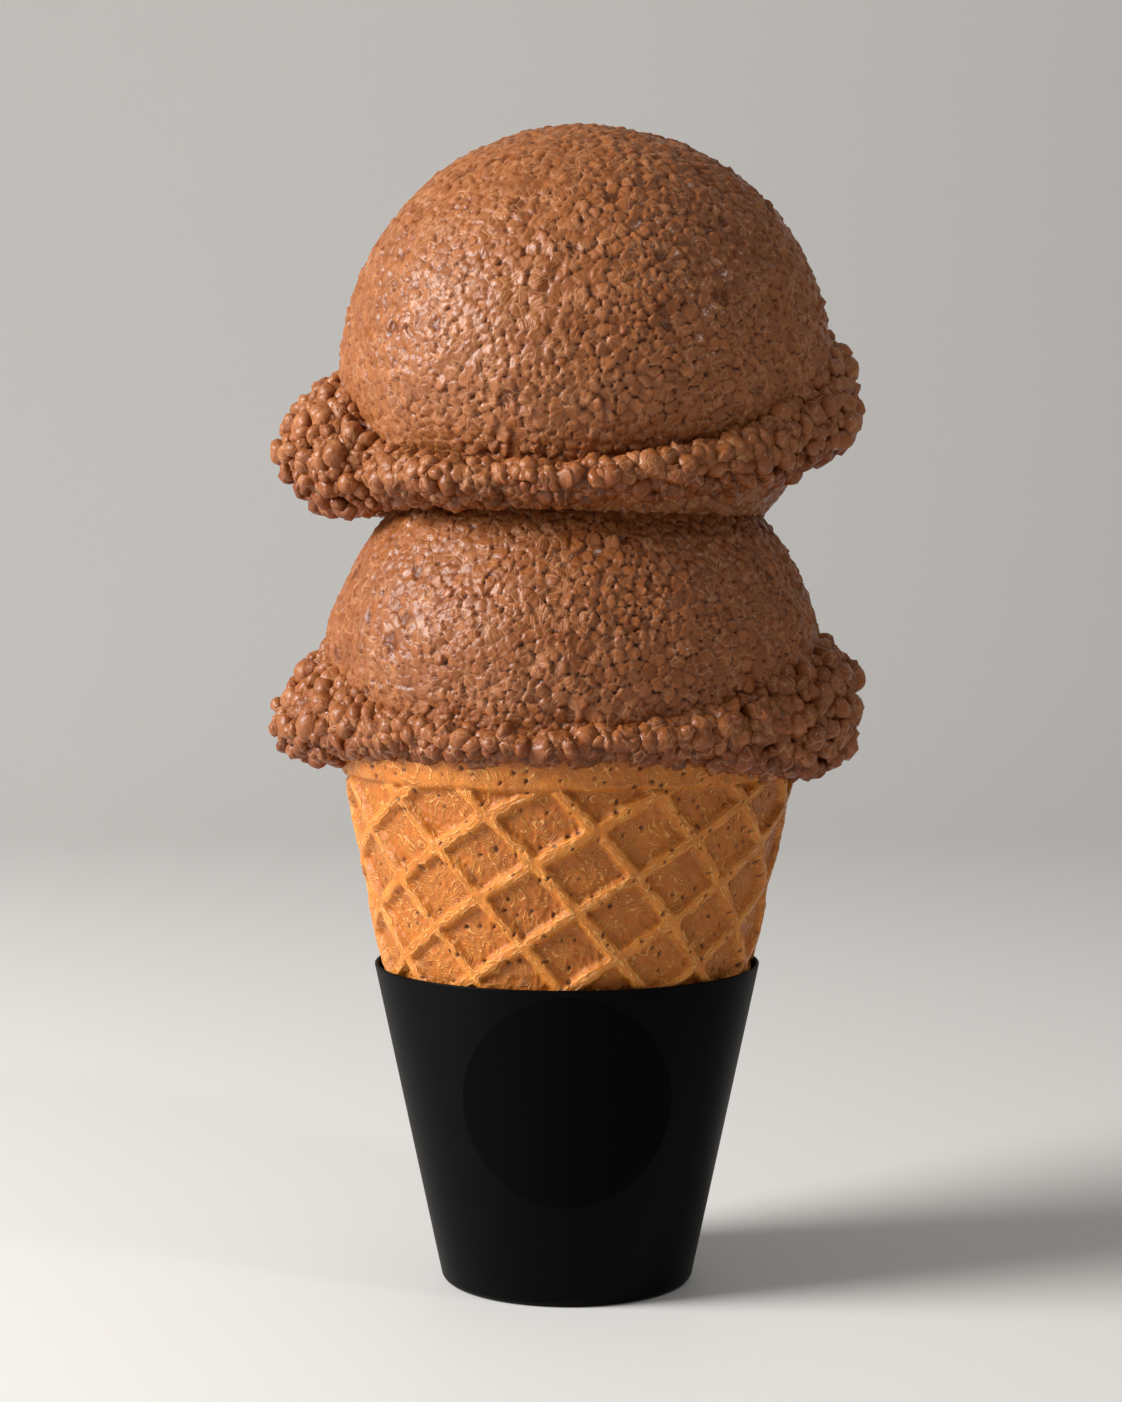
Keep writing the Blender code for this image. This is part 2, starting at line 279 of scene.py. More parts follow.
def pattern(tree, scale, detail=3.0, roughness=0.55, distortion=0.0):
    place = tree.nodes.new("ShaderNodeTexCoord")
    node = tree.nodes.new("ShaderNodeTexNoise")
    node.inputs["Scale"].default_value = scale
    node.inputs["Detail"].default_value = detail
    node.inputs["Roughness"].default_value = roughness
    node.inputs["Distortion"].default_value = distortion
    tree.links.new(place.outputs["Object"], node.inputs["Vector"])
    return node.outputs["Fac"]


def spread(tree, source, low, high, new_low, new_high):
    node = tree.nodes.new("ShaderNodeMapRange")
    for socket, value in zip(node.inputs[1:5], (low, high, new_low, new_high)):
        socket.default_value = value
    tree.links.new(source, node.inputs["Value"])
    return node.outputs["Result"]


def maths(tree, operation, first, second):
    node = tree.nodes.new("ShaderNodeMath")
    node.operation = operation
    for socket, value in zip(node.inputs, (first, second)):
        if isinstance(value, float):
            socket.default_value = value
        else:
            tree.links.new(value, socket)
    return node.outputs[0]


def cell_edges(tree, scale, warp):
    """Distance to the nearest wall between cells of a bent three-dimensional honeycomb."""
    place = tree.nodes.new("ShaderNodeTexCoord")
    bend = tree.nodes.new("ShaderNodeTexNoise")
    bend.inputs["Scale"].default_value = scale * 0.9
    bend.inputs["Detail"].default_value = 1.0
    tree.links.new(place.outputs["Object"], bend.inputs["Vector"])
    scaled = tree.nodes.new("ShaderNodeVectorMath")
    scaled.operation = "MULTIPLY_ADD"
    tree.links.new(bend.outputs["Color"], scaled.inputs[0])
    scaled.inputs[1].default_value = (warp, warp, warp)
    tree.links.new(place.outputs["Object"], scaled.inputs[2])
    node = tree.nodes.new("ShaderNodeTexVoronoi")
    node.feature = "DISTANCE_TO_EDGE"
    node.inputs["Scale"].default_value = scale
    tree.links.new(scaled.outputs[0], node.inputs["Vector"])
    return node.outputs["Distance"]


def ramp(tree, source, stops):
    node = tree.nodes.new("ShaderNodeValToRGB")
    band = node.color_ramp
    while len(band.elements) < len(stops):
        band.elements.new(0.5)
    for element, (position, colour) in zip(band.elements, stops):
        element.position = position
        element.color = (*colour, 1.0)
    tree.links.new(source, node.inputs["Fac"])
    return node.outputs["Color"]


def mixed(tree, share, first, second, blend="MIX"):
    node = tree.nodes.new("ShaderNodeMix")
    node.data_type = "RGBA"
    node.blend_type = blend
    for socket, value in ((0, share), (6, first), (7, second)):
        if isinstance(value, (tuple, float)):
            value = (*value, 1.0) if isinstance(value, tuple) else value
            node.inputs[socket].default_value = value
        else:
            tree.links.new(value, node.inputs[socket])
    return node.outputs[2]


def faint_bump(tree, shader, height, strength, distance):
    node = tree.nodes.new("ShaderNodeBump")
    node.inputs["Strength"].default_value = strength
    node.inputs["Distance"].default_value = distance
    tree.links.new(height, node.inputs["Height"])
    tree.links.new(node.outputs["Normal"], shader.inputs["Normal"])


def ice_cream(name, hollow, body, top):
    """Moist granular ice cream: its shade field runs from painted shade in the hollows to the tops, hue
    differs by granule, and pale lines on the granule edges are painted highlights.
    """
    made, tree, shader = new_material(name)
    painted_shade = ramp(tree, attribute(tree, "painted_shade"), ((0.0, hollow), (0.4, body), (1.0, top)))
    dark = tuple(c * 0.66 for c in body)
    varied = mixed(tree, spread(tree, attribute(tree, "hue"), 0.0, 1.0, 0.0, 0.50), painted_shade, dark)
    # Pale lines along the granule edges, a painted highlight, from the cells and from the web field.
    edge = cell_edges(tree, 700.0, 0.0010)
    broken = spread(tree, pattern(tree, 330.0, 1.0), 0.44, 0.56, 0.0, 1.0)
    line = maths(tree, "MULTIPLY", spread(tree, edge, 0.03, 0.10, 1.0, 0.0), broken)
    highlight_web = maths(tree, "MAXIMUM", spread(tree, attribute(tree, "highlight_web"), 0.0, 1.0, 0.0, 0.8), line)
    highlighted = mixed(tree, spread(tree, highlight_web, 0.0, 1.0, 0.0, 0.42), varied, PAINTED_HIGHLIGHT_COLOUR)
    tree.links.new(highlighted, shader.inputs["Base Color"])
    gloss = pattern(tree, 520.0, 2.0)
    tree.links.new(spread(tree, gloss, 0.35, 0.65, 0.36, 0.60), shader.inputs["Roughness"])
    shader.inputs["Specular IOR Level"].default_value = 0.28
    shader.inputs["Subsurface Weight"].default_value = 0.16
    shader.inputs["Subsurface Radius"].default_value = (1.0, 0.36, 0.14)
    shader.inputs["Subsurface Scale"].default_value = 0.0015
    shader.inputs["Coat Weight"].default_value = 0.15
    shader.inputs["Coat Roughness"].default_value = 0.13
    flat = spread(tree, edge, 0.06, 0.26, 0.0, 1.2)
    relief = maths(tree, "ADD", maths(tree, "MULTIPLY", line, 0.8), flat)
    rough = maths(tree, "MULTIPLY", pattern(tree, 1500.0, 2.0, 0.5, 0.8), 1.5)
    faint_bump(tree, shader, maths(tree, "ADD", relief, rough), 0.55, 0.00011)
    return made


def wafer_material():
    made, tree, shader = new_material("baked_wafer")
    # Wafer colour from its bake, with painted shade under the ice cream at the mouth.
    brown = ramp(tree, attribute(tree, "bake_and_shade"), tuple(zip((0.0, 0.5, 1.0), BAKED_COLOURS)))
    patches = spread(tree, pattern(tree, 420.0, 4.0, 0.65), 0.45, 0.70, 0.0, 0.6)
    mottled = mixed(tree, patches, brown, MOTTLE_COLOUR)
    flow = maths(tree, "PINGPONG", pattern(tree, 210.0, 1.0, 0.4, 1.4), 0.030)
    some = spread(tree, pattern(tree, 600.0, 1.0), 0.42, 0.54, 0.0, 1.0)
    curl = maths(tree, "MULTIPLY", spread(tree, flow, 0.017, 0.025, 0.0, 1.0), some)
    waver = maths(tree, "MULTIPLY", pattern(tree, 420.0, 2.0, 0.5), 1.6)
    along = maths(tree, "PINGPONG", maths(tree, "ADD", attribute(tree, "strand"), waver), 0.26)
    most = spread(tree, pattern(tree, 520.0, 1.0), 0.38, 0.50, 0.0, 1.0)
    thread = maths(tree, "MULTIPLY", spread(tree, along, 0.12, 0.20, 0.0, 1.0), most)
    string = mixed(tree, attribute(tree, "raised"), curl, thread)
    curled = mixed(tree, spread(tree, string, 0.0, 1.0, 0.0, 0.55), mottled, STRING_COLOUR)
    # Pores painted dark as shade in the holes.
    pores = mixed(tree, attribute(tree, "pore"), curled, PORE_SHADE_COLOUR)
    tree.links.new(pores, shader.inputs["Base Color"])
    gloss = pattern(tree, 700.0, 3.0)
    tree.links.new(spread(tree, gloss, 0.35, 0.65, 0.34, 0.58), shader.inputs["Roughness"])
    shader.inputs["Specular IOR Level"].default_value = 0.38
    shader.inputs["Subsurface Weight"].default_value = 0.10
    shader.inputs["Subsurface Radius"].default_value = (1.0, 0.4, 0.12)
    shader.inputs["Subsurface Scale"].default_value = 0.0012
    grain = mixed(tree, 0.55, pattern(tree, 1700.0, 3.0, 0.6, 1.0), string)
    faint_bump(tree, shader, grain, 0.80, 0.00034)
    return made


def holder_material():
    made, tree, shader = new_material("satin_black")
    shader.inputs["Base Color"].default_value = (*HOLDER_COLOUR, 1.0)
    shader.inputs["Roughness"].default_value = 0.46
    shader.inputs["Specular IOR Level"].default_value = 0.05
    faint_bump(tree, shader, pattern(tree, 2600.0, 2.0), 0.10, 0.00006)
    return made


def sticker_material():
    made, _, shader = new_material("black_paper")
    shader.inputs["Base Color"].default_value = (*STICKER_COLOUR, 1.0)
    shader.inputs["Roughness"].default_value = 0.80
    shader.inputs["Specular IOR Level"].default_value = 0.05
    return made


def floor_material():
    made, _, shader = new_material("pale_floor")
    shader.inputs["Base Color"].default_value = (*FLOOR_COLOUR, 1.0)
    shader.inputs["Roughness"].default_value = 0.6
    return made


# Granules.


def granules(points, seeds, depth, shoulder, tilt, rise, warp, holes):
    """Height, painted shade, hue and highlight web at each point of a surface packed with granules
    round the seeds.

    Each granule is depth high with a shoulder that falls off to its edge, and has its own tilt and
    rise. Warp bends the edges, and a share of the granules are holes instead. The hollows, corner
    pits and holes are darker as painted shade, and pale lines along the edges are painted highlights.
    """
    bent = points + warp * noise_vector(points, 1.1 * MM, 1)
    tree = tree_of(seeds)
    found = [tree.find_n(p, 3) for p in bent.tolist()]
    owner = np.array([f[0][1] for f in found])
    near = np.array([(f[0][2], f[1][2], f[2][2]) for f in found])
    own = np.random.default_rng(len(seeds)).normal(size=(len(seeds), 6))
    own = np.clip(own, -1.8, 1.8)
    reach = shoulder * (1.0 + 0.25 * own[owner, 3])
    edge = near[:, 1] - near[:, 0]
    share = np.clip(edge / reach, 0.0, 1.0)
    cap = np.sqrt(1.0 - (1.0 - share) ** 2.2)
    corner = 1.0 - smoothstep(0.06 * MM, 0.42 * MM, near[:, 2] - near[:, 0])
    corner *= smoothstep(-0.15, 0.15, noise(points, 1.5 * MM, 12))
    lean = np.einsum("ij,ij->i", own[owner, :3], bent - seeds[owner])
    height = depth * (cap - 1.0) - 0.45 * MM * corner + (rise * own[owner, 4] + tilt * lean) * cap
    # Painted shade: darker in the hollows between granules and in the corner pits, lighter on the tops.
    painted_shade = np.clip(0.10 + 0.90 * cap - 0.95 * corner, 0.0, 1.0)
    hollow = (np.random.default_rng(5).random(len(seeds)) < holes)[owner]
    hollow = hollow * smoothstep(0.0, 0.7, share)
    height -= 1.2 * depth * hollow
    # The holes are darker as painted shade.
    painted_shade *= 1.0 - 0.75 * hollow
    # Pale lines along the granule edges, raised a little and coloured as a painted highlight.
    highlight_web = smoothstep(0.10 * MM, 0.20 * MM, edge) * (1.0 - smoothstep(0.22 * MM, 0.36 * MM, edge))
    highlight_web *= smoothstep(-0.20, 0.25, noise(points, 2.3 * MM, 13)) * (1.0 - corner)
    return height + 0.07 * MM * highlight_web, painted_shade, (own[owner, 5] + 1.8) / 3.6, highlight_web


def sphere_directions(count):
    """A cube of count x count squares a side blown up to a sphere, closer together at the front."""
    line = np.tan(np.linspace(-math.pi / 4, math.pi / 4, count + 1))
    a, b = np.meshgrid(line, line, indexing="ij")
    one = np.ones_like(a)
    sides = [(a, b, one), (b, a, -one), (one, a, b), (-one, b, a), (b, one, a), (a, -one, b)]
    points = np.concatenate([np.stack(s, axis=2).reshape(-1, 3) for s in sides])
    faces = []
    i, j = np.meshgrid(np.arange(count), np.arange(count), indexing="ij")
    corner = (i * (count + 1) + j).reshape(-1)
    for k in range(6):
        base = corner + k * (count + 1) ** 2
        faces.append(np.stack([base, base + count + 1, base + count + 2, base + 1], axis=1))
    points, index = np.unique(np.round(points, 6), axis=0, return_inverse=True)
    faces = index.reshape(-1)[np.concatenate(faces)]
    points /= np.linalg.norm(points, axis=1)[:, None]
    points += np.array((0.0, -0.32, 0.0))
    return points / np.linalg.norm(points, axis=1)[:, None], faces


def cut_ball(centre, radius, count, bottom, top):
    """Points and faces of a ball that is cut level and closed at the bottom and the top."""
    points, faces = sphere_directions(count)
    mesh = bpy.data.meshes.new("ball")
    mesh.from_pydata((centre + radius * points).tolist(), [], faces.tolist())
    bm = bmesh.new()
    bm.from_mesh(mesh)
    for height, way in ((bottom, -1.0), (top, 1.0)):
        cut = bmesh.ops.bisect_plane(
            bm,
            geom=bm.verts[:] + bm.edges[:] + bm.faces[:],
            dist=1e-7,
            plane_co=(0.0, 0.0, height),
            plane_no=(0.0, 0.0, way),
            clear_outer=True,
        )
        rim = [e for e in cut["geom_cut"] if isinstance(e, bmesh.types.BMEdge)]
        if rim:
            bmesh.ops.edgenet_fill(bm, edges=rim)
    bm.verts.index_update()
    points = np.array([v.co[:] for v in bm.verts])
    faces = [[v.index for v in f.verts] for f in bm.faces]
    bm.free()
    bpy.data.meshes.remove(mesh)
    return points, faces


def scoop(name, centre, radius, sloped, count, bottom, top, finish):
    """A ball of ice cream, whose sloped half (1 upper, -1 lower) draws in towards the other ball."""
    points, faces = cut_ball(centre, radius, count, bottom, top)
    outward = (points - centre) / np.linalg.norm(points - centre, axis=1)[:, None]
    away = np.clip(sloped * (points[:, 2] - centre[2]) / radius, 0.0, 0.999)
    squeeze = (1.0 - away**SHOULDER) ** (1.0 / SHOULDER) / np.sqrt(1.0 - away**2)
    points[:, :2] = centre[:2] + (points[:, :2] - centre[:2]) * squeeze[:, None]
    swell = 0.30 * MM * noise(points, 15.0 * MM, 2) + 0.18 * MM * noise(points, 5.0 * MM, 3)
    order = RANDOM.permutation(len(points))
    candidates = points[order] + 0.05 * MM * RANDOM.normal(size=points.shape)
    uneven = 1.0 + 0.26 * noise(candidates, 6.0 * MM, 5) + 0.22 * RANDOM.normal(size=len(points))
    seeds = candidates[spaced(candidates, np.clip(GRANULE_GAP * uneven, 0.70 * MM, 1.9 * MM))]
    height, painted_shade, hue, highlight_web = granules(
        points,
        seeds,
        depth=GRANULE_DEPTH,
        shoulder=0.52 * MM,
        tilt=0.22,
        rise=0.06 * MM,
        warp=0.24 * MM,
        holes=0.015,
    )
    # Painted shade: the lower ball is darker at its top, under the upper ball.
    if sloped > 0:
        painted_shade *= 1.0 - 0.8 * smoothstep(-3.0 * MM, -0.8 * MM, points[:, 2] - MEETING_HEIGHT)
    calm = 1.0 - 0.35 * smoothstep(0.3, 0.95, outward @ np.array((-0.62, -0.45, 0.64)))
    shape = points + outward * (swell + calm * height + 0.14 * MM)[:, None]
    level = (points[:, 2] <= bottom + 1e-6) | (points[:, 2] >= top - 1e-6)
    shape[level] = points[level]
    return mesh_object(name, shape, faces, finish, {"painted_shade": painted_shade, "hue": hue, "highlight_web": highlight_web})


def lower_skirt(angle):
    """Top, bottom and outer radius of the skirt, how pointed its section is, and its sag."""
    top = 72.5 + 7.5 * bump(angle, LEFT, 40) + 9.2 * bump(angle, -5, 45) + 1.5 * bump(angle, BACK, 50)
    bottom = 68.9 - 1.0 * bump(angle, LEFT, 30) - 2.6 * bump(angle, -30, 22)
    outer = 32.2 + 5.0 * bump(angle, LEFT, 26) + 2.8 * bump(angle, -8, 40)
    point = 1.0 + 0.30 * bump(angle, LEFT, 35) - 0.28 * bump(angle, -5, 40)
    sag = 0.48 * bump(angle, LEFT, 35) - 0.25 * bump(angle, -85, 50) + 0.30 * bump(angle, 0, 38)
    return top * MM, bottom * MM, outer * MM, point, sag


def upper_skirt(angle):
    top = 103.8 + 10.8 * bump(angle, LEFT, 30) + 16.0 * bump(angle, 5, 48) + 3.0 * bump(angle, BACK, 45)
    bottom = 99.6 - 1.2 * bump(angle, LEFT, 38) + 7.2 * bump(angle, 5, 44)
    outer = 31.5 + 6.7 * bump(angle, LEFT, 26) + 2.0 * bump(angle, RIGHT, 46)
    outer += 1.5 * bump(angle, -132, 12) - 3.0 * bump(angle, UPPER_NOTCH, 6)
    point = 1.0 + 0.30 * bump(angle, LEFT, 35) + 0.20 * bump(angle, 5, 45)
    sag = 0.12 * bump(angle, LEFT, 30) - 0.45 * bump(angle, -85, 50) + 0.45 * bump(angle, 5, 40)
    return top * MM, bottom * MM, outer * MM, point, sag


def skirt_surface(centre, ball, shape, columns, section):
    """Rows of points round a skirt, their outward normals and their angles in degrees."""
    turn = closed_turns(columns)
    top, bottom, outer, point, sag = shape(np.degrees(turn))
    level = np.stack([np.cos(turn), np.sin(turn), 0.0 * turn], axis=1) * 32.0 * MM
    top = top + 0.7 * MM * noise(level, 5.0 * MM, 8)
    bottom = bottom + 0.7 * MM * noise(level, 4.0 * MM, 9)
    outer = outer + 0.6 * MM * noise(level, 4.0 * MM, 10)
    middle, half = (top + bottom) / 2, (top - bottom) / 2
    share = np.abs(middle - centre[2]) / ball
    inner = ball * (1.0 - share**SHOULDER) ** (1.0 / SHOULDER) - SKIRT_ROOT
    out, up = np.cos(section)[:, None], np.sin(section)[:, None]
    out = np.sign(out) * np.abs(out) ** point
    up = np.sign(up) * np.abs(up) ** point - sag * np.maximum(out, 0.0)
    radius = (outer + inner) / 2 + (outer - inner) / 2 * out
    points = np.stack(
        [
            centre[0] + radius * np.cos(turn),
            centre[1] + radius * np.sin(turn),
            middle + half * up,
        ],
        axis=2,
    )
    angle = np.broadcast_to(np.degrees(turn), radius.shape)
    return points.reshape(-1, 3), grid_normals(points).reshape(-1, 3), angle.reshape(-1)


def looseness(angle):
    """One where a skirt breaks up into loose globules, zero where it is pressed smooth."""
    return np.clip(bump(angle, LEFT, 26) + bump(angle, -4, 36) + 0.6 * bump(angle, BACK, 50), 0.0, 1.0)


def skirt(name, centre, ball, shape, size, finish):
    columns = 560
    section = np.radians(np.concatenate([np.linspace(-125, 125, 50), np.linspace(142, 218, 5)]))
    points, normal, angle = skirt_surface(centre, ball, shape, columns, section)
    order = RANDOM.permutation(len(points))
    candidates = points[order] + 0.05 * MM * RANDOM.normal(size=(len(order), 3))
    uneven = 1.0 + 0.25 * noise(candidates, 7.0 * MM, 5) + 0.16 * RANDOM.normal(size=len(order))
    seeds = candidates[spaced(candidates, np.clip(size * uneven, 0.8 * MM, 2.6 * MM))]
    height, painted_shade, hue, highlight_web = granules(
        points,
        seeds,
        depth=0.50 * size,
        shoulder=0.60 * size,
        tilt=0.30,
        rise=0.16 * size,
        warp=0.26 * MM,
        holes=0.15,
    )
    swell = 0.45 * MM * noise(points, 5.0 * MM, 4)
    sunk = 0.18 * size - 0.55 * MM * looseness(angle)
    shape_points = points + normal * (height + swell + sunk)[:, None]
    # Painted shade: darker where the skirt breaks into loose globules and on its undersides.
    painted_shade *= 1.0 - 0.35 * looseness(angle)
    painted_shade *= 1.0 - 0.68 * smoothstep(0.10, 0.75, -normal[:, 2])
    faces = grid_faces(len(section), columns, True).tolist()
    return mesh_object(name, shape_points, faces, finish, {"painted_shade": painted_shade, "hue": hue, "highlight_web": highlight_web})


def crumbs(name, centre, ball, shape, size, finish):
    """Globules that stand out of a skirt, sunk deep where it is smooth and loose on its lobes."""
    section = np.radians(np.linspace(-112, 112, 60))
    points, normal, angle = skirt_surface(centre, ball, shape, 600, section)
    clear = np.linalg.norm(points - centre, axis=1) > ball - 0.2 * MM
    points, normal, angle = points[clear], normal[clear], angle[clear]
    order = RANDOM.permutation(len(points))
    points, normal, angle = points[order], normal[order], angle[order]
    gaps = size * RANDOM.uniform(0.62, 1.15, len(points))
    kept = spaced(points, gaps)
    points, normal, angle, gaps = points[kept], normal[kept], angle[kept], gaps[kept]
    loose = looseness(angle)
    radius = 0.70 * gaps * RANDOM.uniform(0.85, 1.15, len(points))
    lift = (loose * RANDOM.uniform(-0.45, 0.40, len(points)) - 0.60 * (1.0 - loose)) * size * 0.6
    middle = points + normal * lift[:, None] + 0.12 * MM * RANDOM.normal(size=points.shape)
    bm = bmesh.new()
    bmesh.ops.create_icosphere(bm, subdivisions=2, radius=1.0)
    ball_points = np.array([v.co[:] for v in bm.verts])
    ball_faces = np.array([[v.index for v in f.verts] for f in bm.faces])
    bm.free()
    spins, _ = np.linalg.qr(RANDOM.normal(size=(len(points), 3, 3)))
    stretch = RANDOM.uniform(0.72, 1.38, (len(points), 1, 3))
    local = np.einsum("nij,nkj->nki", spins, ball_points[None] * stretch) * radius[:, None, None]
    cloud = (middle[:, None, :] + local).reshape(-1, 3)
    cloud += 0.34 * MM * noise_vector(cloud, 0.95 * MM, 21)
    # Painted shade: darker on the undersides and on the sides of the globules that face in, between
    # them.
    outward = np.einsum("nki,ni->nk", local, normal) / radius[:, None]
    shade = 1.0 - 0.58 * smoothstep(0.15, 0.80, -normal[:, 2:])
    painted_shade = (np.clip(0.66 + 0.48 * outward, 0.05, 1.0) * shade).reshape(-1)
    faces = (ball_faces[None] + len(ball_points) * np.arange(len(points))[:, None, None]).reshape(-1, 3)
    hue = np.repeat(RANDOM.random(len(points)), len(ball_points))
    fields = {"painted_shade": painted_shade, "hue": hue, "highlight_web": np.zeros(len(cloud))}
    return mesh_object(name, cloud, faces.tolist(), finish, fields)


# Wafer.


def crest_radius(level):
    """Radius of the tops of the ridges."""
    return MOUTH_CREST - WAFER_TAPER * (MOUTH_HEIGHT - level)


def wafer(finish):
    columns, rows = 700, 118
    turn = closed_turns(columns)
    height = np.linspace(RELIEF_BOTTOM, MOUTH_HEIGHT, rows)
    angle, level = (g.reshape(-1) for g in np.meshgrid(turn, height))
    crest = crest_radius(level)
    smooth = np.stack([crest * np.cos(angle), crest * np.sin(angle), level], axis=1)
    falling_turn = (2 * math.pi - RISING_RIDGES * TURN_PER_RISING) / FALLING_RIDGES
    drop = RISE_PER_CELL * RISING_RIDGES / FALLING_RIDGES
    cells = np.linalg.inv(np.array([[TURN_PER_RISING, falling_turn], [RISE_PER_CELL, -drop]]))
    wobble = 0.24 * MM * noise(smooth, 2.4 * MM, 1) + 0.16 * MM * noise(smooth, 0.9 * MM, 2)
    ridge, strand = np.zeros(len(smooth)), np.full(len(smooth), 1.0)
    for row in cells:
        count = row[0] * (angle - LATTICE_ANGLE) + row[1] * (level - LATTICE_HEIGHT)
        slope = np.hypot(row[0] / crest, row[1])
        away = np.abs(count - np.round(count)) / slope + wobble
        ridge = 1.0 - (1.0 - ridge) * smoothstep(0.42 * MM, 1.15 * MM, away)
        strand = np.minimum(strand, away / MM)
    edge = MOUTH_HEIGHT - BAND_HEIGHT + 0.35 * MM * noise(smooth, 5.0 * MM, 3)
    band = smoothstep(-0.45 * MM, 0.25 * MM, level - edge)
    raised = np.maximum(ridge * (1.0 - band), band * 1.12)

    order = RANDOM.permutation(len(smooth))
    likely = RANDOM.random(len(order)) < 0.06 + 0.94 * (raised[order] > 0.6)
    places = smooth[order[likely]]
    pores = places[spaced(places, np.full(len(places), 1.15 * MM))]
    pores = pores[RANDOM.random(len(pores)) < 0.36]
    sizes = RANDOM.uniform(0.12, 0.36, len(pores)) * MM
    tree = tree_of(pores)
    bent = smooth + 0.22 * MM * noise_vector(smooth, 0.8 * MM, 5)
    found = [tree.find(p) for p in bent.tolist()]
    owner = np.array([f[1] for f in found])
    pore = 1.0 - smoothstep(0.55, 1.15, np.array([f[2] for f in found]) / sizes[owner])

    strings = 1.0 - np.abs(noise(smooth, 1.3 * MM, 6)) * 2.2
    curls = np.clip(strings, 0.0, 1.0) ** 2 * (1.0 - raised)
    lumps = 0.10 * MM * noise(smooth, 1.5 * MM, 7) + 0.05 * MM * noise(smooth, 0.7 * MM, 8)
    radius = crest - RELIEF_DEPTH * (1.0 - raised) + lumps + 0.16 * MM * curls - 0.34 * MM * pore
    aside = WAFER_LEAN * (level - HOLDER_HEIGHT).clip(0.0)
    outside = np.stack([radius * np.cos(angle) + aside, radius * np.sin(angle), level], axis=1)
    flank = 4.0 * raised * (1.0 - np.minimum(raised, 1.0))
    # Painted shade: the band and the top edge under the ice cream are made darker.
    bake_and_shade = 0.26 + 0.10 * flank + 0.46 * raised + 0.25 * noise(smooth, 4.0 * MM, 9) + 0.12 * curls
    bake_and_shade -= 0.22 * band + 0.40 * smoothstep(-2.2 * MM, 0.4 * MM, level - MOUTH_HEIGHT + 0.6 * MM)

    foot = HOLDER_FLOOR + 0.3 * MM
    step = 0.5 * MM
    rings = [(crest_radius(z) - step, z) for z in (foot, 20 * MM, 38 * MM)]
    inner = [(crest_radius(z) - WAFER_WALL, z) for z in (MOUTH_HEIGHT, 40 * MM, foot + WAFER_FLOOR)]

    def ring(radius, z):
        return np.stack([radius * np.cos(turn), radius * np.sin(turn), np.full(columns, z)], axis=1)

    centres = [(0.0, 0.0, foot), (0.0, 0.0, foot + WAFER_FLOOR)]
    points = np.vstack([*(ring(*r) for r in rings), outside, *(ring(*r) for r in inner), centres])
    rows += len(rings) + len(inner)
    faces = grid_faces(rows, columns, False).tolist()
    for start, centre in ((0, rows * columns), ((rows - 1) * columns, rows * columns + 1)):
        faces += [(start + i, start + (i + 1) % columns, centre) for i in range(columns)]
    before, after = len(rings) * columns, len(inner) * columns + 2
    fields = {
        "bake_and_shade": np.concatenate([np.full(before, 0.4), np.clip(bake_and_shade, 0.0, 1.0), np.full(after, 0.4)]),
        "pore": np.concatenate([np.zeros(before), pore, np.zeros(after)]),
        "raised": np.concatenate([np.zeros(before), ridge * (1.0 - band), np.zeros(after)]),
        "strand": np.concatenate([np.zeros(before), strand, np.zeros(after)]),
    }
    return mesh_object("wafer", points, faces, finish, fields)


# Holder and sticker.


def holder_outside(height):
    return HOLDER_BASE + (HOLDER_RIM - HOLDER_BASE) / HOLDER_HEIGHT * height


def holder(finish):
    lean = math.degrees(math.atan((HOLDER_RIM - HOLDER_BASE) / HOLDER_HEIGHT))
    lip = HOLDER_WALL / 2
    edge = (holder_outside(HOLDER_EDGE) - HOLDER_EDGE, HOLDER_EDGE)
    profile = [(0.0, HOLDER_FLOOR), (holder_outside(HOLDER_FLOOR) - HOLDER_WALL, HOLDER_FLOOR)]
    profile += arc((HOLDER_RIM - lip, HOLDER_HEIGHT - lip), lip, 180.0, 0.0, 8)
    profile += arc(edge, HOLDER_EDGE, -lean, -90.0, 8)
    profile += [(0.0, 0.0)]
    return turned("holder_cup", profile, 160, finish)


def sticker(finish):
    """A thin round patch wrapped on the front of the holder's wall."""
    rings, columns = 14, 96
    turn = np.linspace(0.0, 2 * math.pi, columns, endpoint=False)
    out = np.linspace(STICKER_RADIUS, STICKER_RADIUS / rings, rings)[:, None]
    across, up = out * np.cos(turn), STICKER_HEIGHT + STICKER_STRETCH * out * np.sin(turn)
    across = np.vstack([across[::-1], across]).reshape(-1)
    up = np.vstack([up[::-1], up]).reshape(-1)
    lift = np.repeat((0.1 * MM, 0.3 * MM), rings * columns)
    deep = -np.sqrt((holder_outside(up) + lift) ** 2 - across**2)
    points = np.stack([across, deep, up], axis=1)
    faces = grid_faces(2 * rings, columns, False).tolist()
    for start, lift in ((0, 0.1 * MM), ((2 * rings - 1) * columns, 0.3 * MM)):
        centre = (0.0, -holder_outside(STICKER_HEIGHT) - lift, STICKER_HEIGHT)
        points = np.vstack([points, [centre]])
        faces += [(start + i, start + (i + 1) % columns, len(points) - 1) for i in range(columns)]
    return mesh_object("sticker", points, faces, finish, sharp=40.0)


# Stage.


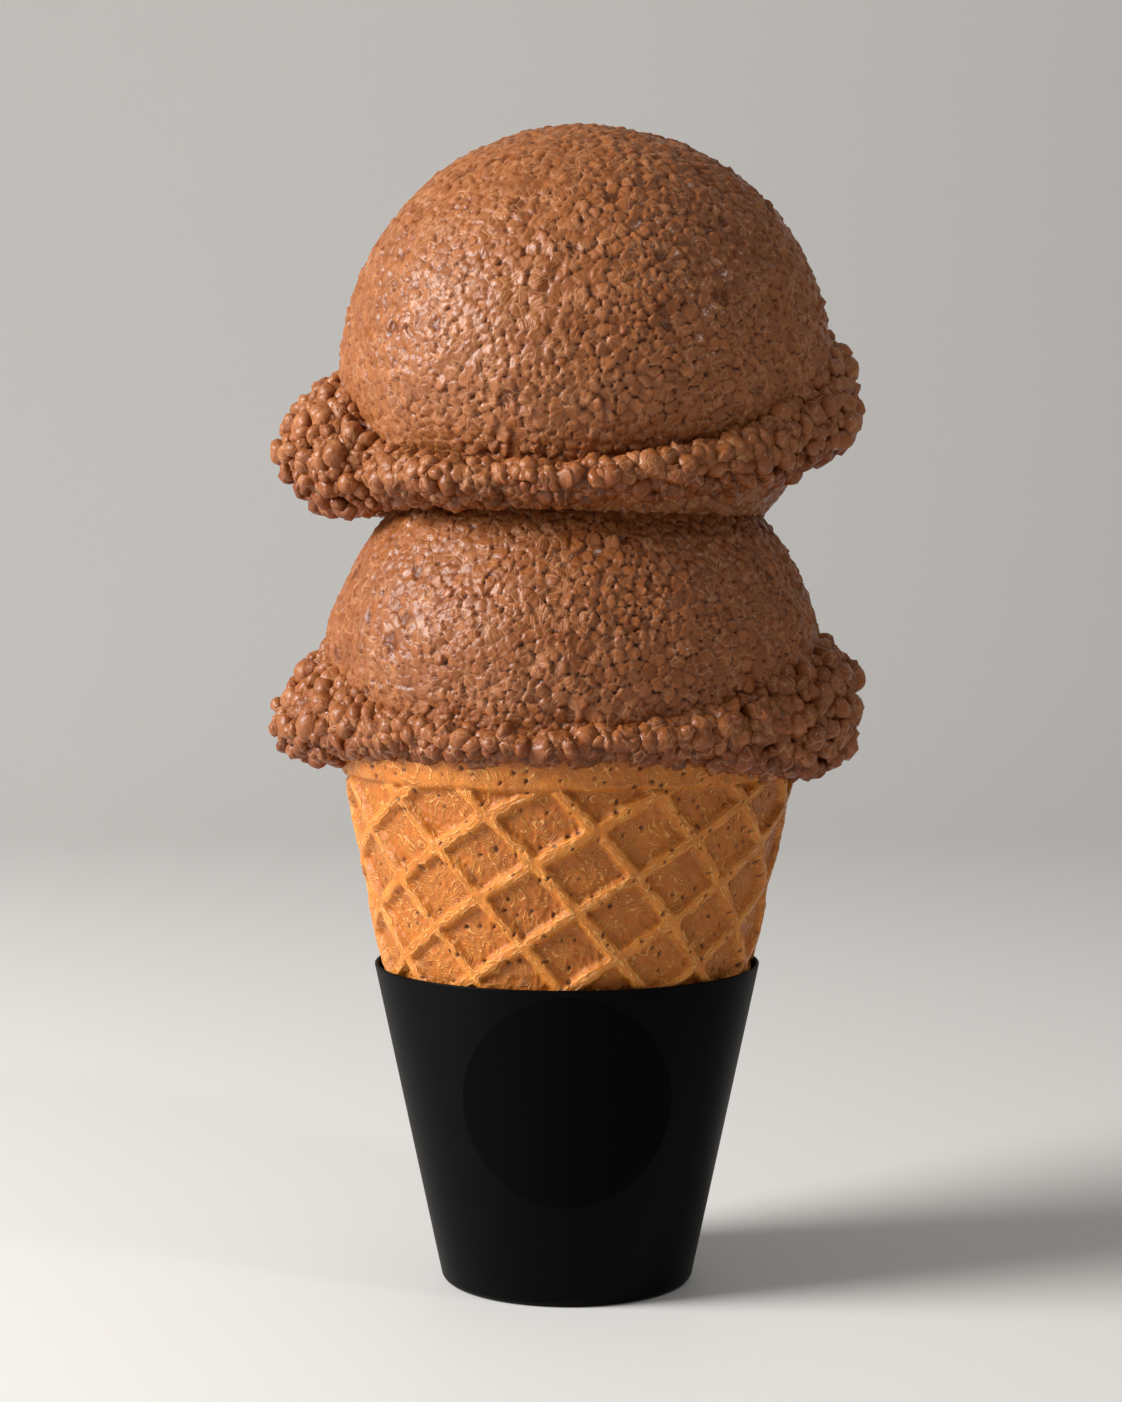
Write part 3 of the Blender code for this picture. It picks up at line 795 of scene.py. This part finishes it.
def sweep(finish):
    """A floor that curves up into a backdrop."""
    profile = [(-1.6, 0.0), (0.5, 0.0)]
    bend = np.linspace(0.1, math.pi / 2, 14)
    profile += [(0.5 + 0.5 * math.sin(a), 0.5 - 0.5 * math.cos(a)) for a in bend]
    profile += [(1.0, 2.2)]
    points = [(x, y, z) for y, z in profile for x in (-2.5, 2.5)]
    faces = [(2 * i, 2 * i + 1, 2 * i + 3, 2 * i + 2) for i in range(len(profile) - 1)]
    obj = mesh_object("floor_sweep", np.array(points), faces, finish)


def lamp(name, place, size, power):
    data = bpy.data.lights.new(name, "AREA")
    data.shape = "DISK"
    data.size = size
    data.energy = power
    obj = bpy.data.objects.new(name, data)
    obj.location = place
    obj.rotation_euler = (Vector(LAMP_TARGET) - Vector(place)).to_track_quat("-Z", "Y").to_euler()
    bpy.context.scene.collection.objects.link(obj)


def world():
    made = bpy.data.worlds.new("soft_white")
    made.use_nodes = True
    background = made.node_tree.nodes["Background"]
    background.inputs["Color"].default_value = (1.0, 1.0, 1.0, 1.0)
    background.inputs["Strength"].default_value = WORLD_STRENGTH
    bpy.context.scene.world = made


def camera():
    data = bpy.data.cameras.new("camera")
    data.lens = CAMERA_LENS
    data.sensor_width = 36.0
    data.clip_start = 0.01
    obj = bpy.data.objects.new("camera", data)
    obj.location = CAMERA_PLACE
    view = Vector(CAMERA_TARGET) - Vector(CAMERA_PLACE)
    obj.rotation_euler = view.to_track_quat("-Z", "Y").to_euler()
    bpy.context.scene.collection.objects.link(obj)
    bpy.context.scene.camera = obj


def hand_over(piece, node):
    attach(piece, "root")
    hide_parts(node)


def main():
    chocolate = ice_cream("chocolate", *CHOCOLATE)
    pale = ice_cream("pale_chocolate", *PALE_CHOCOLATE)
    hand_over(holder(holder_material()), "holder")
    hand_over(sticker(sticker_material()), "label")
    hand_over(wafer(wafer_material()), "waffle_cone")
    lower, upper = (LOWER_CENTRE, LOWER_RADIUS), (UPPER_CENTRE, UPPER_RADIUS)
    top, bottom = MEETING_HEIGHT + LOWER_SINK, MEETING_HEIGHT - UPPER_SINK
    clear = UPPER_CENTRE[2] + 2 * UPPER_RADIUS  # above the upper ball, which has no flat top
    for piece in (
        scoop("lower_ball", *lower, 1, LOWER_SQUARES, LOWER_FOOT, top, chocolate),
        skirt("lower_skirt", *lower, lower_skirt, LOWER_GRAIN, chocolate),
        crumbs("lower_crumbs", *lower, lower_skirt, LOWER_CRUMB, chocolate),
    ):
        hand_over(piece, "lower_scoop")
    for piece in (
        scoop("upper_ball", *upper, -1, UPPER_SQUARES, bottom, clear, pale),
        skirt("upper_skirt", *upper, upper_skirt, UPPER_GRAIN, pale),
        crumbs("upper_crumbs", *upper, upper_skirt, UPPER_CRUMB, pale),
    ):
        hand_over(piece, "upper_scoop")

    sweep(floor_material())
    world()
    for name, place, size, power in LAMPS:
        lamp(name, place, size, power)
    camera()
    bpy.context.scene.view_settings.view_transform = "Standard"


main()
